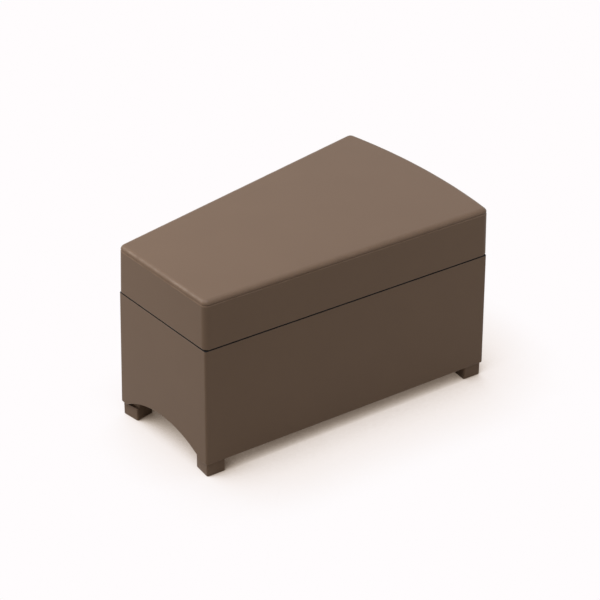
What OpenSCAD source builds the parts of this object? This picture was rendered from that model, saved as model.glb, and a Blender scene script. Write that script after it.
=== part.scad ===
// Wedge-shaped spa step: a moulded bin on four legs under a hinged tread lid.
// Millimetres. +X runs from the narrow end to the wide end, +Y to the hinge side, +Z up.
// The origin is on the floor, under the middle of the footprint.

/* [Footprint at the foot of the walls] */
// Length from the narrow end to the crown of the wide end
footprint_length = 744; // [640:1:840]
// Width across the narrow end
narrow_width = 308; // [260:1:360]
// Width across the wide end
wide_width = 473; // [400:1:540]
// How far the wide end bulges out between its corners
end_bulge = 22; // [12:1:40]

/* [Heights] */
// Height of the tread above the floor
step_height = 430; // [380:1:480]
// Height of the body's rim above the floor
rim_height = 312.5; // [270:0.5:340]
// Clear height under the foot of the walls
wall_clearance = 33; // [26:1:44]
// Inward lean of every wall, in degrees
wall_lean = 1; // [0.5:0.1:2]

/* [Body shell] */
// Thickness of the body's walls
body_wall = 6; // [4.5:0.5:7]
// Corner radius of the body at its rim
body_corner = 7.6; // [7.2:0.1:12]
// Radius of the body's lower edge
foot_edge_radius = 4; // [2:0.5:4.5]
// Radius on the outer edges beside the seam
seam_edge_radius = 2; // [1:0.25:2.5]
// Width of the wall left on each side of the arch in the narrow end
arch_post = 20; // [14:1:60]
// Height of the arch above the foot of the wall
arch_rise = 42; // [25:1:60]

/* [Rim] */
// Height of the upstand inside the lid's skirt
lip_height = 12; // [8:1:14]
// Thickness of the upstand
lip_wall = 3; // [2:0.5:4]
// Room between the upstand and the skirt
lip_clearance = 1.5; // [1.2:0.1:2]
// Height of the seal on the rim
seal_height = 2; // [1.5:0.25:3]
// Width of the seal
seal_width = 3.6; // [3:0.1:4]

/* [Lid] */
// Thickness of the lid's skirt
lid_wall = 5; // [4:0.5:5.5]
// Thickness of the tread
tread_thickness = 6; // [5:0.5:8]
// Radius of the tread's edge
tread_edge_radius = 10.5; // [6:0.5:11]
// Corner radius of the lid at the height of the tread
lid_corner = 11.1; // [11:0.1:16]
// Distance of the line on the skirt from the tread's round edge
line_drop = 2.7; // [2:0.1:8]
// Depth of that line
line_depth = 0.7; // [0.4:0.1:1]
// Half of its height
line_width = 1.8; // [1:0.1:2.4]
// Depth of the ribs under the tread
rib_depth = 18; // [10:1:30]
// Thickness of the ribs
rib_wall = 3; // [2:0.5:4]
// Distance between ribs
rib_pitch = 66; // [50:1:90]
// Least distance of the outermost ribs from the footprint
rib_margin = 20; // [16:1:40]

/* [Floor and legs] */
// Room between the arch and the ledge above it
floor_gap = 2; // [1:0.5:20]
// Thickness of the bin floor
floor_thickness = 5; // [4:0.5:7]
// Room between the bin floor and the walls
floor_clearance = 1; // [0.5:0.25:2]
// Width of the ledge that carries the bin floor
ledge_width = 8; // [6:0.5:10]
// Thickness of that ledge
ledge_thickness = 4; // [3:0.5:5]
// Depth of the ribs under the bin floor
floor_rib_depth = 12; // [8:1:18]
// Side of the square legs
leg_side = 40; // [34:1:46]
// Corner radius of the legs
leg_corner = 4; // [2:0.5:6]
// Room between the legs and the walls
leg_clearance = 2.2; // [1:0.1:6]
// Width of the leg's rim round its foot pad
pad_margin = 4; // [3:0.5:7]
// Thickness of the foot pads
pad_thickness = 3; // [2:0.5:5]
// How far the foot pads stand out of the legs
pad_proud = 1; // [0.5:0.25:1.5]

/* [Hinges] */
// Distance between the hinges
hinge_spacing = 340; // [240:1:420]
// Length of a hinge along the wall
hinge_length = 64; // [50:1:80]
// Thickness of each leaf
leaf_thickness = 2.5; // [1.8:0.1:3]
// Radius of the knuckles
knuckle_radius = 5; // [4:0.25:6]
// Radius of the hinge pin
pin_radius = 2.5; // [2:0.1:3]
// Running clearance round the pin
pin_clearance = 0.05; // [0.02:0.01:0.1]
// Gap between neighbouring knuckles
knuckle_gap = 0.4; // [0.3:0.1:0.8]
// Gap between the knuckles and the wall
axis_gap = 0.6; // [0.4:0.1:1]
// Thickness of the pin's heads
pin_head = 1.5; // [1:0.1:2.5]
// How far the heads stand out round the pin
pin_head_rim = 1; // [0.5:0.1:1.5]
// Thickness of the backing plates
backing_thickness = 3; // [2:0.5:4]
// Width of the backing plates beyond the screws
backing_margin = 6; // [5:0.5:8]
// Room between the backing plates and the slope under the rim
backing_gap = 5; // [2:0.5:8]
// Room that the tread's ribs leave round the backing plates
plate_room = 2; // [1:0.5:6]

/* [Screws] */
// Radius of the screw shanks
screw_radius = 2.4; // [2:0.1:3]
// Room round the screws in their holes
screw_clearance = 0.2; // [0.1:0.05:0.4]
// Radius of the screw heads
head_radius = 4.6; // [4:0.1:5.2]
// Height of the leg screws' pan heads
pan_height = 2.1; // [1.6:0.1:3]
// Metal left under the hinge screws' countersinks
countersink_floor = 0.4; // [0.2:0.1:0.8]
// Distance of the screws from the edges of the leaves and legs
screw_edge = 8; // [6:0.5:10]
// Distance between the two rows of screws in a leaf
screw_row_pitch = 12; // [10:0.5:16]
// Length of the leg screws below the floor's bosses
leg_screw_bite = 24; // [16:1:32]

/* [Hidden] */
$fn = 96;

shell_brown = [0.42, 0.34, 0.28];
rubber_black = [0.08, 0.08, 0.08];
steel_grey = [0.70, 0.70, 0.71];

// Plan of the footprint: narrow end at x_narrow, corners of the wide end at x_wide
x_narrow = -footprint_length / 2;
x_wide = footprint_length / 2 - end_bulge;
wedge = atan((wide_width - narrow_width) / 2 / (x_wide - x_narrow));
bulge_radius = (pow(wide_width / 2, 2) + pow(end_bulge, 2)) / (2 * end_bulge);
bulge_x = footprint_length / 2 - bulge_radius;
wall_length = (x_wide - x_narrow) / cos(wedge);

// Heights, and insets from the footprint at those heights
lid_bottom = rim_height + seal_height;
seam_middle = rim_height + seal_height / 2;
leg_top = wall_clearance + arch_rise + floor_gap;
floor_height = leg_top + ledge_thickness;
function lean(z) = (z - wall_clearance) * tan(wall_lean);
rim_inset = lean(rim_height);
lip_inset = lean(rim_height + lip_height) + lid_wall + lip_clearance;
leg_inset = lean(leg_top) + body_wall + leg_clearance;

// Paths that the wall sections are swept along: arcs at the corners have their centres there
body_path = body_corner + rim_inset;
lid_path = lid_corner + lean(step_height);

// Pieces that cross reach into each other by this much
overlap = 1;
// Corner runs reach this many degrees into the straight runs, this much below their surface
corner_reach = 1.5;
corner_trim = 0.05;
// Cuts along a sharp edge start this far outside it
cut_margin = 0.01;

// Screws, and the leaves and pads that follow from them
screw_hole = screw_radius + screw_clearance;
leg_screw_length = floor_thickness + ledge_thickness + leg_screw_bite;
rim_slope = lip_inset + lip_wall - rim_inset - body_wall / 2;
first_row = seal_height / 2 + lip_wall + rim_slope + backing_gap + backing_margin;
screw_rows = [first_row, first_row + screw_row_pitch];
leaf_height = screw_rows[1] + screw_edge;
head_depth = leaf_thickness - countersink_floor;
axis_offset = knuckle_radius + axis_gap;
knuckles = 5;
knuckle_pitch = hinge_length / knuckles;
hinge_places = [wall_length - hinge_spacing, wall_length + hinge_spacing] / 2;
pad_side = leg_side - 2 * pad_margin;

// Front corner points at a given distance from the walls they lie between
function narrow_point(inset) = [
    x_narrow + inset,
    -narrow_width / 2 - inset * tan(wedge) + inset / cos(wedge)
];
function wide_point(inset) =
    let (
        start = [x_narrow + inset * sin(wedge) - bulge_x, -narrow_width / 2 + inset * cos(wedge)],
        along = [cos(wedge), -sin(wedge)],
        half = start * along,
        reach = sqrt(half * half - start * start + pow(bulge_radius - inset, 2)) - half
    )
    [bulge_x, 0] + start + reach * along;
function bulge_angle(inset) = asin(-wide_point(inset).y / (bulge_radius - inset));

// Both halves of something drawn on the front side
module both_sides() {
    children();
    mirror([0, 1, 0]) children();
}

// Flat outline of the footprint moved inwards, with sharp corners
module inset_outline(inset) {
    n = narrow_point(inset);
    w = wide_point(inset);
    polygon([n, w, [w.x, -w.y], [n.x, -n.y]]);
    intersection() {
        translate([bulge_x, 0]) circle(bulge_radius - inset, $fn = 360);
        translate([w.x - overlap, w.y]) square([footprint_length, -2 * w.y]);
    }
}

// Sweeps a wall section round the footprint. The section's x is the distance outwards from a
// path that lies `radius` inside the footprint, and its y is the height. Sections are drawn
// smaller by $trim all round on the corner runs, so that these end inside the straight runs.
module sweep(radius) {
    n = narrow_point(radius);
    w = wide_point(radius);
    turn = bulge_angle(radius);
    $trim = 0;
    translate(n) rotate([90, 0, 180]) linear_extrude(-2 * n.y) children();
    both_sides()
        translate(w) rotate([90, 0, -90 - wedge]) linear_extrude(norm(w - n)) children();
    translate([bulge_x, 0]) rotate(-turn) rotate_extrude(angle = 2 * turn, $fn = 360)
        translate([bulge_radius - radius, 0]) children();
    both_sides() {
        translate(n) corner_run(180, 90 - wedge) children();
        translate(w) corner_run(-90 - wedge, 90 + wedge - turn) children();
    }
}

module corner_run(start, turn) {
    $trim = corner_trim;
    rotate(start - corner_reach) rotate_extrude(angle = turn + 2 * corner_reach) children();
}

// Sweeps a section along the middle of each wall only, clear of the corners
module sweep_between_corners(radius, clear) {
    n = narrow_point(radius);
    w = wide_point(radius);
    turn = bulge_angle(radius) - asin(clear / bulge_radius);
    $trim = 0;
    translate([n.x, n.y + clear]) rotate([90, 0, 180]) linear_extrude(-2 * (n.y + clear)) children();
    both_sides()
        translate(w) rotate([90, 0, -90 - wedge]) translate([0, 0, clear])
            linear_extrude(norm(w - n) - 2 * clear) children();
    translate([bulge_x, 0]) rotate(-turn) rotate_extrude(angle = 2 * turn, $fn = 360)
        translate([bulge_radius - radius, 0]) children();
}

// Material outside a round edge of radius r, with its sharp corner at the origin and its
// two faces running towards the angles `first` and `second`
module edge_waste(r, first, second) {
    half = (second - first) / 2;
    reach = r / tan(half);
    centre = r / sin(half) * [cos(first + half), sin(first + half)];
    difference() {
        polygon([
            -cut_margin * [cos(first + half), sin(first + half)],
            reach * [cos(first), sin(first)],
            centre,
            reach * [cos(second), sin(second)]
        ]);
        translate(centre) circle(r);
    }
}

// Sections of the walls, in distance outwards from the sweep's path
module body_wall_section() {
    foot = [body_path - $trim, wall_clearance + $trim];
    top = [body_corner - $trim, rim_height - $trim];
    wall = [body_wall - 2 * $trim, 0];
    difference() {
        polygon([foot, top, top - wall, foot - wall]);
        translate(foot) edge_waste(foot_edge_radius, 90 + wall_lean, 180);
        translate(top) edge_waste(seam_edge_radius, 180, 270 + wall_lean);
    }
}

module rim_section() {
    outer = lid_path - lip_inset - $trim;
    inner = lid_path - lip_inset - lip_wall + $trim;
    land = lid_path - rim_inset - body_wall / 2;
    land_height = rim_height - $trim;
    lip_top = rim_height + lip_height - $trim;
    root = rim_height - lip_wall + $trim;
    polygon([
        [land, land_height], [outer, land_height], [outer, lip_top],
        [inner, lip_top], [inner, root], [land, root - (land - inner)]
    ]);
}

module seal_section() {
    land = [lid_path - rim_inset - seam_edge_radius, lid_path - lip_inset];
    translate([(land[0] + land[1] - seal_width) / 2 + $trim, rim_height + $trim])
        square([seal_width - 2 * $trim, seal_height - 2 * $trim]);
}

module ledge_section() {
    wall = body_path - lean(floor_height) - body_wall;
    translate([wall - ledge_width, leg_top]) square([ledge_width + overlap, ledge_thickness]);
}

module lid_section() {
    bottom = [lid_path - lean(lid_bottom) - $trim, lid_bottom + $trim];
    top = [lid_corner - $trim, step_height - $trim];
    wall = [lid_wall - 2 * $trim, 0];
    ceiling = step_height - tread_thickness + $trim;
    inner_top = [lid_path - lean(ceiling) - lid_wall + $trim, ceiling];
    round_edge = min(tread_edge_radius, lid_corner);
    line = step_height - round_edge - line_drop;
    face = lid_path - lean(line) - $trim;
    difference() {
        polygon([bottom, top, [0, top.y], [0, ceiling], inner_top, bottom - wall]);
        translate(top) edge_waste(round_edge, 180, 270 + wall_lean);
        translate(bottom) edge_waste(seam_edge_radius, 90 + wall_lean, 180);
        polygon([
            [face + line_depth, line + line_width], [face - line_depth, line],
            [face + line_depth, line - line_width]
        ]);
    }
}

// Walls of the bin, with the rim that locates the lid and the ledge that carries the floor
module body_shell() {
    arch_half = narrow_width / 2 - arch_post;
    arch_radius = (pow(arch_half, 2) + pow(arch_rise, 2)) / (2 * arch_rise);
    arch_top = wall_clearance + arch_rise;
    color(shell_brown) difference() {
        union() {
            sweep(body_path) body_wall_section();
            sweep(lid_path) rim_section();
            sweep_between_corners(body_path, leg_side + leg_inset) ledge_section();
        }
        translate([x_narrow - overlap, 0, arch_top - arch_radius])
            rotate([0, 90, 0]) cylinder(r = arch_radius, h = body_wall + 3 * overlap);
        body_screw_places() screw_bore();
    }
}

// Strip of rubber that the lid closes on
module rim_seal() {
    color(rubber_black) sweep(lid_path) seal_section();
}

// Tread and skirt in one moulding, with a grid of ribs under the tread
module lid_shell() {
    rib_top = step_height - tread_thickness;
    color(shell_brown) difference() {
        union() {
            sweep(lid_path) lid_section();
            translate([0, 0, rib_top])
                linear_extrude(tread_thickness) inset_outline(lid_path - overlap);
            difference() {
                intersection() {
                    translate([0, 0, rib_top - rib_depth])
                        linear_extrude(rib_depth + overlap)
                            inset_outline(lean(step_height) + lid_wall - overlap);
                    rib_grid(rib_top - rib_depth, rib_depth + overlap, rib_wall);
                }
                for (p = hinge_places) on_rear_wall(p) plate_block(lid_wall, plate_room);
            }
        }
        lid_screw_places() screw_bore();
    }
}

// Crossing ribs on a pitch of rib_pitch, centred on the footprint
module rib_grid(bottom, height, thickness) {
    across = floor((footprint_length / 2 - rib_margin) / rib_pitch);
    along = floor((wide_width / 2 - rib_margin) / rib_pitch);
    for (i = [-across : across])
        translate([i * rib_pitch - thickness / 2, -wide_width / 2, bottom])
            cube([thickness, wide_width, height]);
    for (j = [-along : along])
        translate([-footprint_length / 2, j * rib_pitch - thickness / 2, bottom])
            cube([footprint_length, thickness, height]);
}

// Panel above the arch: lies on the ledge and on the four legs
module bin_floor() {
    edge = lean(floor_height + floor_thickness) + body_wall + floor_clearance;
    rib_edge = edge + ledge_width + leg_side + leg_inset;
    boss_edge = ledge_width + floor_clearance;
    boss_side = leg_side - boss_edge;
    color(shell_brown) difference() {
        union() {
            translate([0, 0, floor_height]) linear_extrude(floor_thickness) rounded_floor(edge);
            for (i = [0 : 3])
                at_leg(i) translate([boss_edge, boss_edge, leg_top])
                    cube([boss_side, boss_side, ledge_thickness + overlap]);
            intersection() {
                translate([0, 0, floor_height - floor_rib_depth])
                    linear_extrude(floor_rib_depth + overlap) inset_outline(rib_edge);
                rib_grid(floor_height - floor_rib_depth, floor_rib_depth + overlap, rib_wall);
            }
        }
        for (i = [0 : 3])
            at_leg(i) leg_screw_spots() translate([0, 0, leg_top - overlap])
                cylinder(r = screw_hole, h = floor_thickness + ledge_thickness + 2 * overlap);
    }
}

// Floor outline with its corners cut back to clear the rounded corners of the walls
module rounded_floor(edge) {
    inset = edge + leg_corner;
    n = narrow_point(inset);
    w = wide_point(inset);
    inset_outline(inset);
    translate([n.x - leg_corner, n.y]) square([leg_corner + overlap, -2 * n.y]);
    both_sides() {
        translate(n) circle(leg_corner);
        translate(w) circle(leg_corner);
        translate(n) rotate(-wedge) translate([0, -leg_corner])
            square([norm(w - n), leg_corner + overlap]);
    }
    intersection() {
        translate([bulge_x, 0]) circle(bulge_radius - edge, $fn = 360);
        translate([w.x, w.y]) square([footprint_length, -2 * w.y]);
    }
}

// Places the children at leg i with local x along the wall and y inwards from the leg's outer
// corner: 0 front narrow, 1 rear narrow, 2 front wide, 3 rear wide
module at_leg(i) {
    spot = i < 2 ? narrow_point(leg_inset) : wide_point(leg_inset);
    mirror([0, i % 2, 0])
        translate(spot) rotate(-wedge) mirror([i < 2 ? 0 : 1, 0, 0]) children();
}

// Two screws in each leg, clear of the ledge and of the leg's inner sides
module leg_screw_spots() {
    near = ledge_width + floor_clearance + screw_edge;
    far = leg_side - screw_edge;
    translate([near, far]) children();
    translate([far, near]) children();
}

// One leg: a rounded square block with a pocket for its pad and two blind screw holes
module leg(i) {
    pocket = pad_thickness - pad_proud;
    color(shell_brown) at_leg(i) difference() {
        translate([0, 0, pad_proud])
            linear_extrude(leg_top - pad_proud) rounded_square(leg_side, leg_corner);
        translate([0, 0, pad_proud - overlap]) linear_extrude(pocket + overlap)
            translate((leg_side - pad_side) / 2 * [1, 1]) rounded_square(pad_side, leg_corner);
        leg_screw_spots() translate([0, 0, leg_top - leg_screw_bite - overlap])
            cylinder(r = screw_hole, h = leg_screw_bite + 2 * overlap);
    }
}

module rounded_square(side, r) {
    translate([r, 0]) square([side - 2 * r, side]);
    translate([0, r]) square([side, side - 2 * r]);
    for (x = [r, side - r], y = [r, side - r]) translate([x, y]) circle(r);
}

module leg_front_narrow() { leg(0); }
module leg_rear_narrow() { leg(1); }
module leg_front_wide() { leg(2); }
module leg_rear_wide() { leg(3); }

// Rubber pads that the step stands on
module foot_pads() {
    color(rubber_black) for (i = [0 : 3])
        at_leg(i) translate((leg_side - pad_side) / 2 * [1, 1])
            linear_extrude(pad_thickness) rounded_square(pad_side, leg_corner);
}

// Pan-head screws down through the bin floor into the legs
module leg_screws() {
    color(steel_grey) for (i = [0 : 3])
        at_leg(i) leg_screw_spots() translate([0, 0, floor_height + floor_thickness]) {
            cylinder(r = head_radius, h = pan_height);
            translate([0, 0, -leg_screw_length])
                cylinder(r = screw_radius, h = leg_screw_length + overlap);
        }
}

// Local frame of a hinge on the rear wall: x along the wall, y out of its face and z up it,
// with the origin on the face in the middle of the seam
module on_rear_wall(distance) {
    translate([x_narrow, narrow_width / 2, wall_clearance]) rotate(wedge) rotate([wall_lean, 0, 0])
        translate([distance, 0, (seam_middle - wall_clearance) / cos(wall_lean)]) children();
}

module leaf_screw_spots() {
    for (x = [-1, 1] * (hinge_length / 2 - screw_edge), row = screw_rows)
        translate([x, 0, row]) rotate([90, 0, 0]) children();
}
module body_screw_places() {
    for (p = hinge_places) on_rear_wall(p) mirror([0, 0, 1]) leaf_screw_spots() children();
}
module lid_screw_places() {
    for (p = hinge_places) on_rear_wall(p) leaf_screw_spots() children();
}

// Bore for a screw, from outside the wall to inside the backing plate
module screw_bore() {
    translate([0, 0, -overlap])
        cylinder(r = screw_hole, h = max(body_wall, lid_wall) + backing_thickness + 3 * overlap);
}

// Countersunk screw whose head is flush with the outside of the leaf
module leaf_screw(wall) {
    translate([0, 0, -leaf_thickness]) {
        cylinder(r1 = head_radius, r2 = screw_radius, h = head_depth);
        cylinder(r = screw_radius, h = leaf_thickness + wall + backing_thickness + overlap);
    }
}

// Knuckle positions along a hinge: even ones belong to the body, odd ones to the lid
module knuckle_places(first) {
    for (i = [first : 2 : knuckles - 1])
        translate([-hinge_length / 2 + i * knuckle_pitch, axis_offset, 0]) rotate([0, 90, 0])
            children();
}

// A leaf drawn upwards from the pin: plate with countersunk holes, its own knuckles, and
// clearance round the knuckles of the other leaf
module leaf(own) {
    color(steel_grey) difference() {
        union() {
            difference() {
                translate([-hinge_length / 2, 0, knuckle_gap])
                    cube([hinge_length, leaf_thickness, leaf_height - knuckle_gap]);
                knuckle_places(1 - own) translate([0, 0, -knuckle_gap / 2])
                    cylinder(r = knuckle_radius + knuckle_gap, h = knuckle_pitch + knuckle_gap);
            }
            knuckle_places(own) translate([0, 0, knuckle_gap / 2])
                cylinder(r = knuckle_radius, h = knuckle_pitch - knuckle_gap);
        }
        knuckle_places(own) translate([0, 0, -overlap])
            cylinder(r = pin_radius + pin_clearance, h = knuckle_pitch + 2 * overlap);
        leaf_screw_spots() translate([0, 0, -leaf_thickness]) {
            cylinder(r1 = head_radius + screw_clearance, r2 = screw_hole, h = head_depth);
            cylinder(r = screw_hole, h = leaf_thickness + overlap);
        }
    }
}

// Pin with a flat head at each end of the knuckles
module hinge_pin() {
    color(steel_grey) translate([-hinge_length / 2 - pin_head, axis_offset, 0]) rotate([0, 90, 0]) {
        cylinder(r = pin_radius, h = hinge_length + 2 * pin_head);
        for (z = [0, hinge_length + pin_head])
            translate([0, 0, z]) cylinder(r = pin_radius + pin_head_rim, h = pin_head);
    }
}

module hinge_narrow_body_leaf() { on_rear_wall(hinge_places[0]) mirror([0, 0, 1]) leaf(0); }
module hinge_wide_body_leaf() { on_rear_wall(hinge_places[1]) mirror([0, 0, 1]) leaf(0); }
module hinge_narrow_lid_leaf() { on_rear_wall(hinge_places[0]) leaf(1); }
module hinge_wide_lid_leaf() { on_rear_wall(hinge_places[1]) leaf(1); }
module hinge_narrow_pin() { on_rear_wall(hinge_places[0]) hinge_pin(); }
module hinge_wide_pin() { on_rear_wall(hinge_places[1]) hinge_pin(); }

// Block of a backing plate inside a wall, drawn upwards from the pin, with room round it
module plate_block(wall, room) {
    height = screw_row_pitch + 2 * backing_margin;
    translate([
        -hinge_length / 2 - room, -wall - backing_thickness - room,
        screw_rows[0] - backing_margin - room
    ])
        cube([hinge_length + 2 * room, backing_thickness + room, height + 2 * room]);
}

module backing_plate(wall) {
    color(steel_grey) difference() {
        plate_block(wall, 0);
        leaf_screw_spots() screw_bore();
    }
}
module body_backing_plates() {
    for (p = hinge_places) on_rear_wall(p) mirror([0, 0, 1]) backing_plate(body_wall);
}
module lid_backing_plates() {
    for (p = hinge_places) on_rear_wall(p) backing_plate(lid_wall);
}
module hinge_body_screws() {
    color(steel_grey) body_screw_places() leaf_screw(body_wall);
}
module hinge_lid_screws() {
    color(steel_grey) lid_screw_places() leaf_screw(lid_wall);
}

body_shell();
bin_floor();
rim_seal();
lid_shell();
leg_front_narrow();
leg_rear_narrow();
leg_front_wide();
leg_rear_wide();
foot_pads();
leg_screws();
hinge_narrow_body_leaf();
hinge_narrow_lid_leaf();
hinge_narrow_pin();
hinge_wide_body_leaf();
hinge_wide_lid_leaf();
hinge_wide_pin();
body_backing_plates();
lid_backing_plates();
hinge_body_screws();
hinge_lid_screws();
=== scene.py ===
"""Looks of the wedge-shaped spa step: moulded bin and tread lid, block legs, seal and steel hinges.

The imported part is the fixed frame. Sizes are metres in the part's own frame: +X runs from the
narrow end to the wide end, +Y to the hinge side and +Z up, with the origin on the floor.
"""
import logging
import math
from dataclasses import dataclass
from enum import Enum
from functools import cache
from typing import Callable, Sequence

import bmesh
import bpy
from mathutils import Matrix, Vector


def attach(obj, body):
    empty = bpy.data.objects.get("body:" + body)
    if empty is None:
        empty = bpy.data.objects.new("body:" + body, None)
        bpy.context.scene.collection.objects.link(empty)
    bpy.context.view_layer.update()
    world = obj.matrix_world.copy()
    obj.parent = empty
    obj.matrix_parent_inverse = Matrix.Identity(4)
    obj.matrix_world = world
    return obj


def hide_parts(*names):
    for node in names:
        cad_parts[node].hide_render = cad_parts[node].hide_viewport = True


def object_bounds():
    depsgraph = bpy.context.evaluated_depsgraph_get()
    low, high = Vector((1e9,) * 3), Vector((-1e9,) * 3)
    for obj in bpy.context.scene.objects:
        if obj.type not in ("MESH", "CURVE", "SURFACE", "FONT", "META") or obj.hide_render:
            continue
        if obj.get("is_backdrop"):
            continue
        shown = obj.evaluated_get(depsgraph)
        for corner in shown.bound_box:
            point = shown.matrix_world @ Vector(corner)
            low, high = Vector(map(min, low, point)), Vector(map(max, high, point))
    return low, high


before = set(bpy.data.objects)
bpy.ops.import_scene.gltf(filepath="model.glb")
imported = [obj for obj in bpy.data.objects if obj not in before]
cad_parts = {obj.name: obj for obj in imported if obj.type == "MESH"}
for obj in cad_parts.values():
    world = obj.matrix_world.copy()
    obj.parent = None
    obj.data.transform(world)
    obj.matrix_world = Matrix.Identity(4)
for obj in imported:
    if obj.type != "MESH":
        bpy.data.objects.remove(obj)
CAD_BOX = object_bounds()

LOG = logging.getLogger("spa_step")
MM = 0.001
# per-vertex amount of edge wear and of painted highlight along edges
EDGE = "edge"
NOISE_LOW, NOISE_HIGH = 0.3, 0.7  # a noise texture mostly stays between these
SMOOTH_ANGLE, METAL_ANGLE = 35.0, 30.0  # sharper edges than these, in degrees, stay creased
MERGE_GAP = 0.002 * MM
FLAT_ANGLE, SHARP_ANGLE = math.radians(0.5), math.radians(40)
SOFT_SEGMENTS = 2
RIB_MARGIN = 20 * MM
Pair = tuple[float, float]
Triple = tuple[float, float, float]
Colour = Triple
Ring = list[Vector]
Piece = bpy.types.Object
Socket = bpy.types.NodeSocket
Tree = bpy.types.NodeTree


class Rider(Enum):
    """The bodies that pieces move with."""

    BASE = "base"
    LID = "lid"


class Slot(Enum):
    """The record's material slots that pieces take their finish from."""

    LID = "lid_plastic"
    BODY = "body_plastic"
    LEG = "leg_plastic"
    RUBBER = "rubber"
    HINGE = "hinge_steel"
    SCREW = "screw_steel"


# Work at the bench: selecting, sweeping and finishing meshes


def deselect() -> None:
    """Leaves edit mode with nothing selected."""
    if bpy.context.object and bpy.context.object.mode != "OBJECT":
        bpy.ops.object.mode_set(mode="OBJECT")
    bpy.ops.object.select_all(action="DESELECT")


def activate(piece: Piece) -> None:
    """Makes one piece the only selected and active object."""
    deselect()
    piece.select_set(True)
    bpy.context.view_layer.objects.active = piece


def name_piece(piece: Piece, name: str) -> Piece:
    """Gives a piece and its mesh the same name."""
    piece.name = name
    piece.data.name = name
    return piece


def pick(piece: Piece, wanted: Callable[[bmesh.types.BMVert], bool]) -> None:
    """Selects the vertices that a test accepts, and the edges and faces between them.

    Args:
        piece: The piece that is in edit mode.
        wanted: The test that a vertex has to pass.
    """
    bpy.ops.mesh.select_mode(type="VERT")
    bpy.ops.mesh.select_all(action="DESELECT")
    cage = bmesh.from_edit_mesh(piece.data)
    for vertex in cage.verts:
        vertex.select = wanted(vertex)
    cage.select_flush(True)
    bmesh.update_edit_mesh(piece.data)


def sweep_rings(
    name: str, rings: list[Ring], closed: bool, edges: Sequence[float] = ()
) -> Piece:
    """Extrudes a ring of vertices from station to station.

    Args:
        name: The piece's name.
        rings: The vertices of every station, in the same order.
        closed: True joins the last ring to the first, False caps both.
        edges: How much wear and painted highlight each station gets, from 0 on a face upwards; all
            are faces if left out.

    Returns:
        The closed mesh as an object.
    """
    deselect()
    bpy.ops.mesh.primitive_circle_add(vertices=len(rings[0]))
    piece = name_piece(bpy.context.object, name)
    bpy.ops.object.mode_set(mode="EDIT")
    cage = bmesh.from_edit_mesh(piece.data)
    order = cage.verts.layers.int.new("order")
    cage.verts.layers.int.new("station")
    cage.verts.layers.float.new(EDGE)
    for index, vertex in enumerate(cage.verts):
        vertex[order] = index
    bmesh.update_edit_mesh(piece.data)
    for number, (ring, edge) in enumerate(zip(rings, edges or [0.0] * len(rings))):
        if number:
            bpy.ops.mesh.extrude_edges_indiv()
        cage = bmesh.from_edit_mesh(piece.data)
        layers = cage.verts.layers
        for vertex in cage.verts:
            if vertex.select:
                vertex.co = ring[vertex[layers.int["order"]]]
                vertex[layers.int["station"]] = number
                vertex[layers.float[EDGE]] = edge
        bmesh.update_edit_mesh(piece.data)
    ends = (0, len(rings) - 1) if closed else (0,)
    close_up = bpy.ops.mesh.bridge_edge_loops if closed else bpy.ops.mesh.edge_face_add
    if not closed:
        close_up()
    station = bmesh.from_edit_mesh(piece.data).verts.layers.int["station"]
    pick(piece, lambda vertex: vertex[station] in ends)
    close_up()
    bpy.ops.mesh.select_all(action="SELECT")
    bpy.ops.mesh.normals_make_consistent(inside=False)
    bpy.ops.object.mode_set(mode="OBJECT")
    for spent in ("order", "station"):
        piece.data.attributes.remove(piece.data.attributes[spent])
    return piece


def smooth(piece: Piece, angle: float = SMOOTH_ANGLE) -> Piece:
    """Shades a piece smooth up to an angle in degrees, with flat faces kept flat."""
    activate(piece)
    bpy.ops.object.shade_smooth_by_angle(angle=math.radians(angle))
    bpy.ops.object.modifier_add(type="WEIGHTED_NORMAL")
    piece.modifiers[-1].keep_sharp = True
    bpy.ops.object.modifier_apply(modifier=piece.modifiers[-1].name)
    return piece


def place(piece: Piece, matrix: Matrix) -> Piece:
    """Moves a piece's mesh, so that the piece itself stays at the origin, unturned and unscaled."""
    activate(piece)
    piece.matrix_world = matrix @ piece.matrix_world
    bpy.ops.object.transform_apply(location=True, rotation=True, scale=True)
    return piece


def copy_of(piece: Piece, name: str, matrix: Matrix) -> Piece:
    """A copy of a modelled piece, with a mesh of its own, moved to its place."""
    activate(piece)
    bpy.ops.object.duplicate(linked=False)
    return place(name_piece(bpy.context.object, name), matrix)


def discard(piece: Piece) -> None:
    """Removes a piece that was only a pattern or a cutter."""
    activate(piece)
    bpy.ops.object.delete()


def joined(pieces: list[Piece], name: str) -> Piece:
    """Joins pieces into one."""
    activate(pieces[0])
    for piece in pieces[1:]:
        piece.select_set(True)
    bpy.ops.object.join()
    return name_piece(bpy.context.object, name)


@dataclass(frozen=True)
class Block:
    """A box by its centre, its size and its turn about Z."""

    centre: Vector
    size: Vector
    turn: float = 0.0


def add_blocks(name: str, blocks: list[Block]) -> Piece:
    """Adds boxes to one mesh and leaves it in edit mode.

    Args:
        name: The piece's name.
        blocks: The boxes.

    Returns:
        The piece, at the origin.
    """
    deselect()
    for number, block in enumerate(blocks):
        bpy.ops.mesh.primitive_cube_add(
            size=1, location=block.centre, rotation=(0, 0, block.turn), scale=block.size
        )
        if number == 0:
            piece = name_piece(bpy.context.object, name)
            bpy.ops.object.transform_apply(location=True, rotation=True, scale=True)
            bpy.ops.object.mode_set(mode="EDIT")
    return piece


def bevel(width: float, segments: int) -> None:
    """Rounds the edges that are selected in edit mode."""
    bpy.ops.mesh.bevel(offset=width, segments=segments, affect="EDGES", clamp_overlap=True)


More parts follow.
